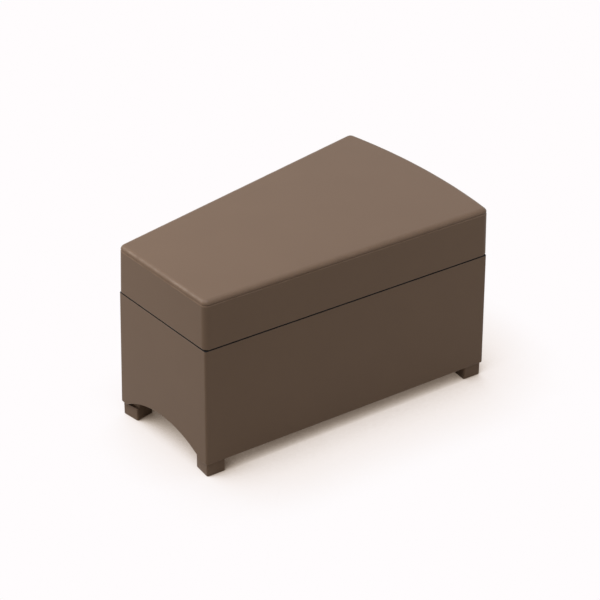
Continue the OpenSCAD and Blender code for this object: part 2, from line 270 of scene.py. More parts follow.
def turned(name: str, profile: list[Pair], steps: int = 32) -> Piece:
    """A round piece about Z, from pairs of radius and height."""
    turns = [2 * math.pi * step / steps for step in range(steps)]
    rings = [
        [Vector((radius * math.cos(turn), radius * math.sin(turn), height)) for turn in turns]
        for radius, height in profile
    ]
    return sweep_rings(name, rings, closed=False)


def softened_copy(node: str, name: str, width: float) -> Piece:
    """A merged copy of a solid's mesh with its sharp edges rounded.

    Args:
        node: The solid.
        name: The copy's name.
        width: How wide the rounded edges are.

    Returns:
        The copy.
    """
    piece = bpy.data.objects.new(name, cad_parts[node].data.copy())
    bpy.context.scene.collection.objects.link(piece)
    name_piece(piece, name)
    activate(piece)
    bpy.ops.mesh.customdata_custom_splitnormals_clear()
    bpy.ops.object.mode_set(mode="EDIT")
    bpy.ops.mesh.select_all(action="SELECT")
    bpy.ops.mesh.remove_doubles(threshold=MERGE_GAP)
    bpy.ops.mesh.dissolve_limited(angle_limit=FLAT_ANGLE)
    bpy.ops.mesh.normals_make_consistent(inside=False)
    bpy.ops.object.mode_set(mode="OBJECT")
    bpy.ops.object.modifier_add(type="BEVEL")
    soften = piece.modifiers[-1]
    soften.width, soften.segments, soften.angle_limit = width, SOFT_SEGMENTS, SHARP_ANGLE
    bpy.ops.object.modifier_apply(modifier=soften.name)
    return piece


# The part's plan and heights


@dataclass(frozen=True)
class Footprint:
    """Plan of the walls at their foot, and how they lean inwards above it."""

    length: float = 744 * MM
    narrow_width: float = 308 * MM
    wide_width: float = 473 * MM
    bulge: float = 22 * MM
    foot: float = 33 * MM
    lean: float = math.radians(1)
    corner_steps: int = 10
    bulge_steps: int = 36

    @property
    def x_narrow(self) -> float:
        """Where the narrow end is."""
        return -self.length / 2

    @property
    def x_wide(self) -> float:
        """Where the corners of the wide end are."""
        return self.length / 2 - self.bulge

    @property
    def wedge(self) -> float:
        """Angle of each long wall to the X axis."""
        return math.atan((self.wide_width - self.narrow_width) / 2 / (self.x_wide - self.x_narrow))

    @property
    def bulge_radius(self) -> float:
        """Radius of the wide end."""
        return ((self.wide_width / 2) ** 2 + self.bulge**2) / (2 * self.bulge)

    @property
    def bulge_centre(self) -> float:
        """Where the wide end's radius is centred, on the X axis."""
        return self.length / 2 - self.bulge_radius

    def lean_at(self, height: float) -> float:
        """How far the walls have leant inwards at a height."""
        return (height - self.foot) * math.tan(self.lean)

    def narrow_corner(self, inset: float) -> Vector:
        """The front corner of the narrow end, at a distance inside both walls."""
        side = -self.narrow_width / 2 - inset * math.tan(self.wedge) + inset / math.cos(self.wedge)
        return Vector((self.x_narrow + inset, side))

    def wide_corner(self, inset: float) -> Vector:
        """The front corner of the wide end, at a distance inside both walls."""
        along = Vector((math.cos(self.wedge), -math.sin(self.wedge)))
        start = Vector((
            self.x_narrow + inset * math.sin(self.wedge) - self.bulge_centre,
            -self.narrow_width / 2 + inset * math.cos(self.wedge),
        ))
        half = start.dot(along)
        reach = math.sqrt(half**2 - start.dot(start) + (self.bulge_radius - inset) ** 2) - half
        return Vector((self.bulge_centre, 0)) + start + reach * along

    def ring(
        self, inset: float, corner: float, height: float, columns: Sequence[float] = ()
    ) -> Ring:
        """The outline at an inset, anticlockwise from the narrow end's front corner.

        Args:
            inset: Distance inside the footprint.
            corner: Radius of the corners.
            height: Height above the floor.
            columns: Extra places across the narrow end, from +Y to -Y.

        Returns:
            The outline's points.
        """
        path = inset + corner
        narrow, wide = self.narrow_corner(path), self.wide_corner(path)
        turn = math.asin(-wide.y / (self.bulge_radius - path))
        side, bulge = math.pi / 2 + self.wedge, self.bulge_radius - inset
        arcs = [
            (narrow, corner, -math.pi, -side, self.corner_steps),
            (wide, corner, -side, -turn, self.corner_steps),
            (Vector((self.bulge_centre, 0)), bulge, -turn, turn, self.bulge_steps),
            (Vector((wide.x, -wide.y)), corner, turn, side, self.corner_steps),
            (Vector((narrow.x, -narrow.y)), corner, side, math.pi, self.corner_steps),
        ]
        points = []
        for number, (centre, radius, start, end, steps) in enumerate(arcs):
            starts_shared = number in (2, 3)  # the bulge meets the corners on both sides of it
            for step in range(1 if starts_shared else 0, steps + 1):
                angle = start + (end - start) * step / steps
                points.append(centre + radius * Vector((math.cos(angle), math.sin(angle))))
        points += [Vector((self.x_narrow + inset, column)) for column in columns]
        return [Vector((point.x, point.y, height)) for point in points]


@dataclass(frozen=True)
class Heights:
    """Heights that more than one piece follows."""

    tread: float = 430 * MM
    rim: float = 312.5 * MM
    seal: float = 2 * MM
    floor: float = 81 * MM
    floor_thickness: float = 5 * MM
    leg_top: float = 77 * MM

    @property
    def floor_top(self) -> float:
        """The top of the bin's floor."""
        return self.floor + self.floor_thickness

    @property
    def lid_bottom(self) -> float:
        """The lower edge of the lid's skirt."""
        return self.rim + self.seal

    @property
    def seam(self) -> float:
        """The middle of the seam."""
        return self.rim + self.seal / 2


PLAN = Footprint()
LEVEL = Heights()


def arc(centre: Pair, radius: float, start: float, end: float, steps: int) -> list[Pair]:
    """Points of a round edge as pairs of inset and height.

    Args:
        centre: Inset and height of the round's centre.
        radius: The round's radius.
        start: First angle in degrees, where 0 faces outwards and 90 up.
        end: Last angle in degrees.
        steps: Number of segments.

    Returns:
        The points from start to end.
    """
    angles = [math.radians(start + (end - start) * step / steps) for step in range(steps + 1)]
    return [
        (centre[0] - radius * math.cos(angle), centre[1] + radius * math.sin(angle))
        for angle in angles
    ]


def ribs(pitch: float, wall: float, inset: float, low: float, high: float) -> list[Block]:
    """Upright ribs in both directions that end at an inset from the footprint.

    Args:
        pitch: Distance between ribs.
        wall: Their thickness.
        inset: Where they end.
        low: Height of their lower edge.
        high: Height of their upper edge.

    Returns:
        The ribs as boxes.
    """
    middle, tall = (low + high) / 2, high - low
    slope, secant = math.tan(PLAN.wedge), 1 / math.cos(PLAN.wedge)
    near, far = PLAN.x_narrow + inset, PLAN.x_wide - inset
    blocks = []
    count = math.floor((PLAN.length / 2 - RIB_MARGIN) / pitch)
    for number in range(-count, count + 1):
        along = number * pitch
        half = PLAN.narrow_width / 2 + (along - PLAN.x_narrow) * slope - inset * secant
        if near < along < far:
            blocks.append(Block(Vector((along, 0, middle)), Vector((wall, 2 * half, tall))))
    count = math.floor((PLAN.wide_width / 2 - RIB_MARGIN) / pitch)
    for number in range(-count, count + 1):
        side = number * pitch
        wall_start = PLAN.x_narrow + (abs(side) - PLAN.narrow_width / 2 + inset * secant) / slope
        start = max(near, wall_start)
        end = PLAN.bulge_centre + math.sqrt((PLAN.bulge_radius - inset) ** 2 - side**2)
        if start < end:
            centre = Vector(((start + end) / 2, side, middle))
            blocks.append(Block(centre, Vector((end - start, wall, tall))))
    return blocks


def rib_piece(name: str, blocks: list[Block], round_edge: float) -> Piece:
    """Ribs as one piece with rounded lower edges."""
    piece = add_blocks(name, blocks)
    low = min(block.centre.z - block.size.z / 2 for block in blocks)
    pick(piece, lambda vertex: vertex.co.z < low + round_edge)
    bevel(round_edge, SOFT_SEGMENTS)
    return smooth(piece)


# Finishes


def linear(red: int, green: int, blue: int) -> Colour:
    """A colour from its screen values of 0 to 255."""
    parts = [part / 255 for part in (red, green, blue)]
    return tuple(
        part / 12.92 if part < 0.04045 else ((part + 0.055) / 1.055) ** 2.4 for part in parts
    )


def shade(colour: Colour, factor: float) -> Colour:
    """A colour made lighter or darker."""
    return tuple(part * factor for part in colour)


def fill(tree: Tree, socket: Socket, value: float | Triple | Socket) -> None:
    """Sets an input to a constant, or joins it to another node's output."""
    if isinstance(value, Socket):
        tree.links.new(value, socket)
    else:
        socket.default_value = (*value, 1) if socket.type == "RGBA" else value


def add_node(tree: Tree, kind: str, **inputs: float | Triple | Socket) -> bpy.types.Node:
    """Adds a shader node.

    Args:
        tree: The material, world or group that it goes into.
        kind: The node's type, without its prefix.
        inputs: What its inputs are filled with, with _ for each space in their names.

    Returns:
        The node.
    """
    node = tree.nodes.new(f"ShaderNode{kind}")
    for socket, value in inputs.items():
        fill(tree, node.inputs[socket.replace("_", " ")], value)
    return node


def combine(tree: Tree, operation: str, *values: float | Socket) -> Socket:
    """The result of an operation on numbers and other nodes' outputs."""
    node = add_node(tree, "Math")
    node.operation = operation
    for socket, value in zip(node.inputs, values):
        fill(tree, socket, value)
    return node.outputs[0]


def spread(tree: Tree, noise: Socket, low: float, high: float) -> Socket:
    """Maps a noise to a range."""
    node = add_node(
        tree, "MapRange", Value=noise,
        From_Min=NOISE_LOW, From_Max=NOISE_HIGH, To_Min=low, To_Max=high,
    )
    return node.outputs["Result"]


class Effects:
    """Node groups that several finishes share, each made once."""

    @staticmethod
    def group(name: str, inputs: dict[str, float], outputs: list[str]) -> Tree:
        """Starts a node group with number sockets.

        Args:
            name: The group's name.
            inputs: The default value of each input.
            outputs: The names of its outputs.

        Returns:
            The group, with its input and output nodes in place.
        """
        tree = bpy.data.node_groups.new(name, "ShaderNodeTree")
        for socket, value in inputs.items():
            made = tree.interface.new_socket(socket, in_out="INPUT", socket_type="NodeSocketFloat")
            made.default_value = value
        for socket in outputs:
            tree.interface.new_socket(socket, in_out="OUTPUT", socket_type="NodeSocketFloat")
        tree.nodes.new("NodeGroupInput")
        tree.nodes.new("NodeGroupOutput")
        return tree

    @staticmethod
    def noise(tree: Tree, scale: str, detail: float, stretch: Triple = (1.0, 1.0, 1.0)) -> Socket:
        """Adds a noise in the piece's own frame.

        Args:
            tree: The group.
            scale: The group's input that gives its scale.
            detail: How many finer layers it has.
            stretch: Factors on the scale along X, Y and Z.

        Returns:
            The noise's value.
        """
        spot = add_node(tree, "TexCoord").outputs["Object"]
        if stretch != (1.0, 1.0, 1.0):
            spot = add_node(tree, "Mapping", Vector=spot, Scale=stretch).outputs["Vector"]
        size = tree.nodes["Group Input"].outputs[scale]
        return add_node(tree, "TexNoise", Vector=spot, Scale=size, Detail=detail).outputs["Fac"]

    @classmethod
    @cache
    def grain(cls) -> Tree:
        """Fine spark-eroded grain and the slow mottle of a moulding."""
        tree = cls.group("moulded_grain", {"Grain": 1400.0, "Mottle": 9.0}, ["Height", "Mottle"])
        result = tree.nodes["Group Output"].inputs
        fill(tree, result["Height"], cls.noise(tree, "Grain", 3.0))
        fill(tree, result["Mottle"], cls.noise(tree, "Mottle", 4.0))
        return tree

    @classmethod
    @cache
    def burnish_and_highlight(cls) -> Tree:
        """How far handling has polished an edge and how much painted highlight it gets, broken up
        along it.
        """
        tree = cls.group("burnished_highlit_edge", {"Amount": 1.0, "Breaks": 40.0}, ["Mask"])
        breaks = spread(tree, cls.noise(tree, "Breaks", 5.0), 0, 1)
        edge = add_node(tree, "Attribute")
        edge.attribute_name = EDGE
        worn_and_lit = combine(tree, "MULTIPLY", edge.outputs["Fac"], breaks)
        mask = combine(tree, "MULTIPLY", worn_and_lit, tree.nodes["Group Input"].outputs["Amount"])
        fill(tree, tree.nodes["Group Output"].inputs["Mask"], mask)
        return tree

    @classmethod
    @cache
    def brushing(cls) -> Tree:
        """Fine lines along X, as left by brushing a metal strip."""
        tree = cls.group("brushed_lines", {"Fineness": 900.0}, ["Lines"])
        lines = cls.noise(tree, "Fineness", 4.0, stretch=(0.02, 1.0, 1.0))
        fill(tree, tree.nodes["Group Output"].inputs["Lines"], lines)
        return tree


@dataclass
class Bench:
    """A new material's node tree, with short ways to place and join nodes."""

    name: str

    def __post_init__(self) -> None:
        """Starts the material with its shader."""
        self.material = bpy.data.materials.new(self.name)
        self.material.use_nodes = True
        self.tree = self.material.node_tree
        self.shader = self.tree.nodes["Principled BSDF"]

    def effect(self, group: Tree, **values: float) -> bpy.types.NodeOutputs:
        """Places a shared effect with its input values, and gives its outputs."""
        node = self.tree.nodes.new("ShaderNodeGroup")
        node.node_tree = group
        for socket, value in values.items():
            node.inputs[socket].default_value = value
        return node.outputs

    def blend(self, mask: Socket, first: Colour | Socket, second: Colour) -> Socket:
        """Mixes two colours by a mask; the first may be a colour or another node's output."""
        node = add_node(self.tree, "Mix")
        node.data_type = "RGBA"
        for socket, value in (("Factor", mask), ("A", first), ("B", second)):
            fill(self.tree, node.inputs[socket], value)
        return node.outputs["Result"]

    def raise_surface(self, height: Socket, depth: float) -> None:
        """Bumps the shader's normal by a height."""
        bump = add_node(self.tree, "Bump", Strength=1.0, Distance=depth, Height=height)
        self.set(Normal=bump.outputs["Normal"])

    def set(self, **values: float | Socket) -> None:
        """Fills inputs of the shader, with _ for each space in their names."""
        for socket, value in values.items():
            fill(self.tree, self.shader.inputs[socket.replace("_", " ")], value)


@dataclass(frozen=True)
class MouldedPlastic:
    """Satin moulded plastic with a fine grain, a slow mottle, and burnished edges lightened as a
    painted highlight.
    """

    name: str
    colour: Colour
    roughness: float = 0.46
    variation: float = 0.04
    specular: float = 0.17
    mottle: float = 0.015
    grain_depth: float = 0.012 * MM
    burnish_and_highlight: float = 0.8
    polish: float = 0.55
    wear_highlight_tone: float = 1.3

    def material(self) -> bpy.types.Material:
        """The finish as a material."""
        bench = Bench(self.name)
        grain = bench.effect(Effects.grain())
        # the mask marks edges for wear and for a painted highlight
        mask = bench.effect(Effects.burnish_and_highlight(), Amount=self.burnish_and_highlight)["Mask"]
        mottle = spread(bench.tree, grain["Mottle"], 0, 1)
        # the third tone lightens the edges: partly wear, partly painted highlight
        tones = (1 - self.mottle, 1 + self.mottle, self.wear_highlight_tone)
        dark, pale, worn_and_lit = (shade(self.colour, tone) for tone in tones)
        low, high = self.roughness - self.variation, self.roughness + self.variation
        rough = spread(bench.tree, grain["Height"], low, high)
        bench.set(
            Base_Color=bench.blend(mask, bench.blend(mottle, dark, pale), worn_and_lit),
            Roughness=combine(bench.tree, "MULTIPLY_ADD", mask, -self.polish, rough),
            Specular_IOR_Level=self.specular,
        )
        bench.raise_surface(grain["Height"], self.grain_depth)
        return bench.material


@dataclass(frozen=True)
class Rubber:
    """Matt dark rubber with a coarse bloom."""

    name: str
    colour: Colour = (0.007, 0.006, 0.006)
    roughness: float = 0.82
    variation: float = 0.08
    specular: float = 0.3
    grain: float = 900.0
    grain_depth: float = 0.02 * MM
    bloom: float = 60.0
    bloom_tone: float = 1.7

    def material(self) -> bpy.types.Material:
        """The finish as a material."""
        bench = Bench(self.name)
        grain = bench.effect(Effects.grain(), Grain=self.grain, Mottle=self.bloom)
        bloom = spread(bench.tree, grain["Mottle"], 0, 1)
        low, high = self.roughness - self.variation, self.roughness + self.variation
        bench.set(
            Base_Color=bench.blend(bloom, self.colour, shade(self.colour, self.bloom_tone)),
            Roughness=spread(bench.tree, grain["Height"], low, high),
            Specular_IOR_Level=self.specular,
        )
        bench.raise_surface(grain["Height"], self.grain_depth)
        return bench.material


@dataclass(frozen=True)
class Steel:
    """Stainless steel, brushed lengthways or left with a fine mill grain."""

    name: str
    colour: Colour = (0.5, 0.49, 0.47)
    roughness: float = 0.44
    smoother: float = 0.08
    rougher: float = 0.1
    fineness: float = 900.0
    line_tone: float = 0.86
    line_depth: float = 0.01 * MM

    def material(self) -> bpy.types.Material:
        """The finish as a material."""
        bench = Bench(self.name)
        lines = bench.effect(Effects.brushing(), Fineness=self.fineness)["Lines"]
        tone = spread(bench.tree, lines, 0, 1)
        low, high = self.roughness - self.smoother, self.roughness + self.rougher
        bench.set(
            Base_Color=bench.blend(tone, shade(self.colour, self.line_tone), self.colour),
            Roughness=spread(bench.tree, lines, low, high),
            Metallic=1.0,
        )
        bench.raise_surface(lines, self.line_depth)
        return bench.material


@dataclass
class Finishes:
    """One material for each slot of the record, made when first asked for."""

    brown: Colour = linear(117, 96, 78)
    # the legs are painted 5 % darker, as painted shade under the bin
    leg_shade_tone: float = 0.95

    def __post_init__(self) -> None:
        """Sets out the finishes."""
        shaded_leg_brown = shade(self.brown, self.leg_shade_tone)
        self.kinds = {
            Slot.LID: MouldedPlastic("lid_plastic_satin", self.brown),
            Slot.BODY: MouldedPlastic("body_plastic_satin", self.brown),
            Slot.LEG: MouldedPlastic("leg_plastic_satin", shaded_leg_brown, roughness=0.52),
            Slot.RUBBER: Rubber("seal_and_pad_rubber"),
            Slot.HINGE: Steel("hinge_steel_brushed"),
            Slot.SCREW: Steel("screw_steel_bright", roughness=0.34, fineness=500.0),
        }
        self.materials: dict[Slot, bpy.types.Material] = {}

    def dress(self, piece: Piece, slot: Slot, rider: Rider, stands_for: list[str]) -> None:
        """Gives a piece its finish, its body and the solids that it stands for.

        Args:
            piece: The finished piece.
            slot: The record's slot for its finish.
            rider: The body that it moves with.
            stands_for: Solids that it is seen in place of.
        """
        if slot not in self.materials:
            self.materials[slot] = self.kinds[slot].material()
        piece.data.materials.clear()
        piece.data.materials.append(self.materials[slot])
        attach(piece, rider.value)
        for node in stands_for:
            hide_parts(node)
        LOG.info("%s: %d faces", piece.name, len(piece.data.polygons))


# Sub-assemblies


@dataclass
class LidShell:
    """The lid: leaning skirt, tread with a rolled edge and a line below it, and ribs inside."""

    wall: float = 5 * MM
    tread: float = 6 * MM
    lean: float = math.radians(1.4)
    overhang: float = 1.3 * MM
    edge_width: float = 12 * MM
    edge_drop: float = 10.5 * MM
    edge_start: float = math.radians(12)
    edge_steps: int = 14
    corner: float = 14.5 * MM
    least_corner: float = 2.5 * MM
    seam_radius: float = 0.9 * MM
    seam_steps: int = 6
    seam_wear_and_highlight: float = 0.35
    shadow_gap: float = 2.6 * MM
    shadow_depth: float = 3.0 * MM
    edge_fade: float = 3 * MM
    inner_radius: float = 3 * MM
    inner_steps: int = 5
    inner_edge: float = 0.6 * MM
    line_low: float = -2.8 * MM
    line_depth: float = 1.4 * MM
    line_shape: tuple[Triple, ...] = (  # share of its height, share of its depth, wear and painted highlight
        (0.0, 0.0, 0.0), (0.06, 0.06, 2.5), (0.34, 0.45, 2.5),
        (0.56, 0.9, 0.0), (0.72, 1.0, 0.0), (0.82, 0.85, 0.0),
    )
    rib_depth: float = 18 * MM
    rib_wall: float = 3 * MM
    rib_pitch: float = 66 * MM
    rib_edge: float = 0.8 * MM
    rib_root: float = 1 * MM

    @property
    def ceiling(self) -> float:
        """Height of the tread's underside."""
        return LEVEL.tread - self.tread

    @property
    def shoulder(self) -> float:
        """Height where the skirt turns into the tread's rolled edge."""
        return LEVEL.tread - self.edge_drop

    def face(self, height: float) -> float:
        """Inset of the skirt's outer face at a height."""
        low = LEVEL.lid_bottom
        return PLAN.lean_at(low) - self.overhang + (height - low) * math.tan(self.lean)

    def ring(self, inset: float, height: float) -> Ring:
        """A ring of the skirt or the tread, past the body all round but on the hinges' side."""
        behind = inset - self.face(min(height, self.shoulder))
        ring = PLAN.ring(inset, max(self.corner - behind, self.least_corner), height)
        for point in ring:
            half = PLAN.narrow_width / 2 + (point.x - PLAN.x_narrow) * math.tan(PLAN.wedge)
            point.y -= self.overhang * (1 + point.y / half) / 2
        return ring

    def stations(self) -> list[Triple]:
        """Inset, height, and wear and painted highlight of each station, from the ceiling down,
        round the seam and up.
        """
        low = LEVEL.lid_bottom
        shelf = self.ceiling - self.inner_radius
        turn = (self.face(shelf) + self.wall + self.inner_radius, shelf)
        points = [(*point, 0.0) for point in arc(turn, self.inner_radius, 90, 0, self.inner_steps)]
        points.append((self.face(low) + self.wall, low + self.inner_edge, 0.0))
        points.append((self.face(low) + self.wall - self.inner_edge, low, 0.0))
        rebate = self.face(low) + self.shadow_depth
        points += [(rebate, low + up, 0.0) for up in (0.0, self.shadow_gap)]
        foot = low + self.shadow_gap + self.seam_radius
        centre = (self.face(foot) + self.seam_radius, foot)
        seam = arc(centre, self.seam_radius, -90, math.degrees(self.lean), self.seam_steps)
        # the seam's round gets wear and a painted highlight
        points += [(*point, self.seam_wear_and_highlight) for point in seam]
        points.append((self.face(foot + self.edge_fade), foot + self.edge_fade, 0.0))
        line_top = self.edge_drop * math.sin(self.edge_start)
        # the lower flank of the line below the rolled edge gets a painted highlight
        for up, deep, edge in self.line_shape:
            height = self.shoulder + self.line_low + up * (line_top - self.line_low)
            points.append((self.face(height) + deep * self.line_depth, height, edge))
        # the rolled edge gets a painted highlight, strongest half way round it
        for step in range(self.edge_steps + 1):
            angle = self.edge_start + (math.pi / 2 - self.edge_start) * step / self.edge_steps
            inset = self.face(self.shoulder) + self.edge_width * (1 - math.cos(angle))
            height = self.shoulder + self.edge_drop * math.sin(angle)
            points.append((inset, height, math.sin(2 * angle) ** 2))
        return points

    def build(self) -> list[Piece]:
        """Models the moulding and its ribs."""
        stations = self.stations()
        rings = [self.ring(inset, height) for inset, height, _ in stations]
        wear_and_highlight = [edge for *_, edge in stations]
        shell = smooth(sweep_rings("lid_moulding", rings, closed=False, edges=wear_and_highlight))
        inset = self.face(self.ceiling) + self.wall - self.rib_root
        low, high = self.ceiling - self.rib_depth, self.ceiling + self.rib_root
        blocks = ribs(self.rib_pitch, self.rib_wall, inset, low, high)
        return [shell, rib_piece("lid_ribs", blocks, self.rib_edge)]

    def dress(self, finishes: Finishes) -> None:
        """Builds the lid and gives it its finish."""
        shell, grid = self.build()
        finishes.dress(shell, Slot.LID, Rider.LID, ["lid_shell"])
        finishes.dress(grid, Slot.LID, Rider.LID, [])


@dataclass
class BodyShell:
    """The bin: leaning walls with an arch in the narrow end, a lip and the floor's ledges."""

    lid: LidShell
    wall: float = 6 * MM
    corner: float = 5.8 * MM
    least_corner: float = 1.6 * MM
    foot_radius: float = 2.5 * MM
    foot_wear_and_highlight: float = 0.3
    seam_radius: float = 0.8 * MM
    seam_wear_and_highlight: float = 0.35
    round_steps: int = 6
    inner_edge: float = 0.8 * MM
    arch_post: float = 20 * MM
    arch_rise: float = 42 * MM
    arch_edge: float = 0.35
    arch_columns: int = 48
    lip_height: float = 12 * MM
    lip_wall: float = 3 * MM
    lip_edge: float = 0.9 * MM
    lip_wear_and_highlight: float = 0.5
    lip_clearance: float = 1.5 * MM
    lip_path: float = 18 * MM
    ledge_width: float = 8 * MM
    ledge_thickness: float = 4 * MM
    ledge_clear: float = 49 * MM
    ledge_root: float = 0.5 * MM
    ledge_steps: int = 16

    def ring(self, inset: float, height: float) -> Ring:
        """A ring of the wall, with the same outer corner at every height."""
        behind = inset - PLAN.lean_at(height)
        corner = max(self.corner - behind, self.least_corner)
        return PLAN.ring(inset, corner, height, self.columns())

    @property
    def lip_inset(self) -> float:
        """Inset of the lip's outer face."""
        return PLAN.lean_at(LEVEL.rim + self.lip_height) + self.lid.wall + self.lip_clearance

    def arch(self, side: float) -> float:
        """How far the foot of the narrow end is raised at a distance from its middle."""
        half = PLAN.narrow_width / 2 - self.arch_post
        radius = (half**2 + self.arch_rise**2) / (2 * self.arch_rise)
        if abs(side) >= half:
            return 0.0
        return self.arch_rise - radius + math.sqrt(radius**2 - side**2)

    def columns(self) -> list[float]:
        """Places across the narrow end that the arch is drawn through."""
        half = PLAN.narrow_width / 2 - self.arch_post
        return [half * (1 - 2 * step / self.arch_columns) for step in range(self.arch_columns + 1)]

    def foot_ring(self, inset: float, height: float, face: float) -> Ring:
        """A ring at the foot that follows the arch across the narrow end.

        Args:
            inset: Distance inside the footprint.
            height: Height where there is no arch.
            face: Distance of the wall's face behind its outer face.

        Returns:
            The ring's points.
        """
        columns = self.columns()
        ring = self.ring(inset, height)
        offset = inset - PLAN.lean_at(height) - face
        for point, side in zip(ring[-len(columns):], columns):
            raised = PLAN.foot + self.arch(side) + (height - PLAN.foot) * self.arch_edge
            point.z = raised
            point.x = PLAN.x_narrow + PLAN.lean_at(raised) + face + offset * self.arch_edge
        return ring

    def moulding(self) -> Piece:
        """Models the walls from the foot up the outside, over the lip and down the inside."""
        slant, steps = math.degrees(PLAN.lean), self.round_steps
        knee = PLAN.foot + self.foot_radius
        centre = (PLAN.lean_at(knee) + self.foot_radius, knee)
        round_foot = arc(centre, self.foot_radius, -90, slant, steps)
        rings = [self.foot_ring(inset, height, 0.0) for inset, height in round_foot]
        # the round foot gets wear and a painted highlight
        edges = [self.foot_wear_and_highlight] * len(rings) + [0.0] * 2
        neck = LEVEL.rim - self.seam_radius
        clear_of_foot, clear_of_rim = knee + self.lid.edge_fade, neck - self.lid.edge_fade
        rings.append(self.foot_ring(PLAN.lean_at(clear_of_foot), clear_of_foot, 0.0))
        rings.append(self.ring(PLAN.lean_at(clear_of_rim), clear_of_rim))
        centre = (PLAN.lean_at(neck) + self.seam_radius, neck)
        rim = arc(centre, self.seam_radius, slant, 90, steps)
        outer, top = self.lip_inset, LEVEL.rim + self.lip_height
        inner = outer + self.lip_wall
        root = LEVEL.rim - self.lip_wall
        lip = [
            (outer, LEVEL.rim), (outer, top - self.lip_edge), (outer + self.lip_edge, top),
            (inner - self.lip_edge, top), (inner, top - self.lip_edge), (inner, root),
        ]
        under = root - (inner - PLAN.lean_at(root) - self.wall)
        columns = self.columns()
        rings += [self.ring(inset, height) for inset, height in rim]
        rings += [PLAN.ring(inset, self.lip_path - inset, height, columns) for inset, height in lip]
        rings.append(self.ring(PLAN.lean_at(under) + self.wall, under))
        # the rim's round and the lip get wear and a painted highlight
        edges += [self.seam_wear_and_highlight] * len(rim) + [0.0] + [self.lip_wear_and_highlight] * 4 + [0.0] * 2
        for height, step in ((PLAN.foot + self.inner_edge, 0.0), (PLAN.foot, self.inner_edge)):
            rings.append(self.foot_ring(PLAN.lean_at(height) + self.wall - step, height, self.wall))
            edges.append(0.0)
        return smooth(sweep_rings("body_moulding", rings, closed=True, edges=edges))

    def ledge(self, spine: list[tuple[Vector, Vector]]) -> Piece:
        """A strip of ledge, from pairs of points at the wall and at its free edge."""
        low, high = LEVEL.leg_top, LEVEL.leg_top + self.ledge_thickness
        rings = []
        for at_wall, free in spine:
            corners = ((at_wall, low), (free, low), (free, high), (at_wall, high))
            rings.append([Vector((*point, height)) for point, height in corners])
        return sweep_rings("ledge", rings, closed=False)

    def ledges(self) -> Piece:
        """Models the four ledges that carry the floor between the legs."""
        at_wall = PLAN.lean_at(LEVEL.floor) + self.wall - self.ledge_root
        insets = (at_wall, at_wall + self.ledge_width + self.ledge_root)
        narrow, wide = PLAN.narrow_corner(at_wall), PLAN.wide_corner(at_wall)
        along = Vector((math.cos(PLAN.wedge), -math.sin(PLAN.wedge))) * self.ledge_clear
        across = Vector((math.sin(PLAN.wedge), math.cos(PLAN.wedge))) * (insets[1] - insets[0])
        front = [(point, point + across) for point in (narrow + along, wide - along)]
        rear = [tuple(Vector((point.x, -point.y)) for point in pair) for pair in front]
        reach = -narrow.y - self.ledge_clear
        end = [
            tuple(Vector((PLAN.x_narrow + inset, side)) for inset in insets)
            for side in (-reach, reach)
        ]
        turn = math.asin((-wide.y - self.ledge_clear) / PLAN.bulge_radius)
        centre = Vector((PLAN.bulge_centre, 0))
        bulge = []
        for step in range(self.ledge_steps + 1):
            angle = turn * (2 * step / self.ledge_steps - 1)
            outwards = Vector((math.cos(angle), math.sin(angle)))
            bulge.append(tuple(centre + outwards * (PLAN.bulge_radius - inset) for inset in insets))
        strips = [self.ledge(spine) for spine in (front, rear, end, bulge)]
        return smooth(joined(strips, "floor_ledges"))

    def dress(self, finishes: Finishes) -> None:
        """Builds the bin and gives it its finish."""
        finishes.dress(self.moulding(), Slot.BODY, Rider.BASE, ["body_shell"])
        finishes.dress(self.ledges(), Slot.BODY, Rider.BASE, [])


@dataclass
class RimSeal:
    """Rubber strip on the rim that the lid closes on."""

    body: BodyShell
    set_back: float = 1.6 * MM
    flange_back: float = 0.35 * MM
    flange: float = 0.4 * MM
    lip_gap: float = 0.4 * MM
    edge: float = 0.5 * MM
    edge_share: float = 0.3

    def build(self) -> Piece:
        """Models the strip as a soft-edged ring."""
        brim = PLAN.lean_at(LEVEL.rim) + self.flange_back
        near = PLAN.lean_at(LEVEL.rim) + self.set_back
        far = self.body.lip_inset - self.lip_gap
        low, high, edge = LEVEL.rim, LEVEL.rim + LEVEL.seal, self.edge
        soft = self.edge_share * edge
        section = [
            (far, low), (brim, low), (brim, low + self.flange), (near, low + self.flange),
            (near, high - edge), (near + soft, high - soft), (near + edge, high),
            (far - edge, high), (far - soft, high - soft), (far, high - edge),
        ]
        outer, inner = self.body.corner - self.set_back, self.body.lip_path - far
        middle = (near + far) / 2
        rings = [
            PLAN.ring(inset, outer if inset < middle else inner, height)
            for inset, height in section
        ]
        return smooth(sweep_rings("seal_strip", rings, closed=True))

    def dress(self, finishes: Finishes) -> None:
        """Builds the seal and gives it its finish."""
        finishes.dress(self.build(), Slot.RUBBER, Rider.BASE, ["rim_seal"])


class ScrewHead(Enum):
    """Shapes of screw head."""

    PAN = "pan"
    COUNTERSUNK = "countersunk"


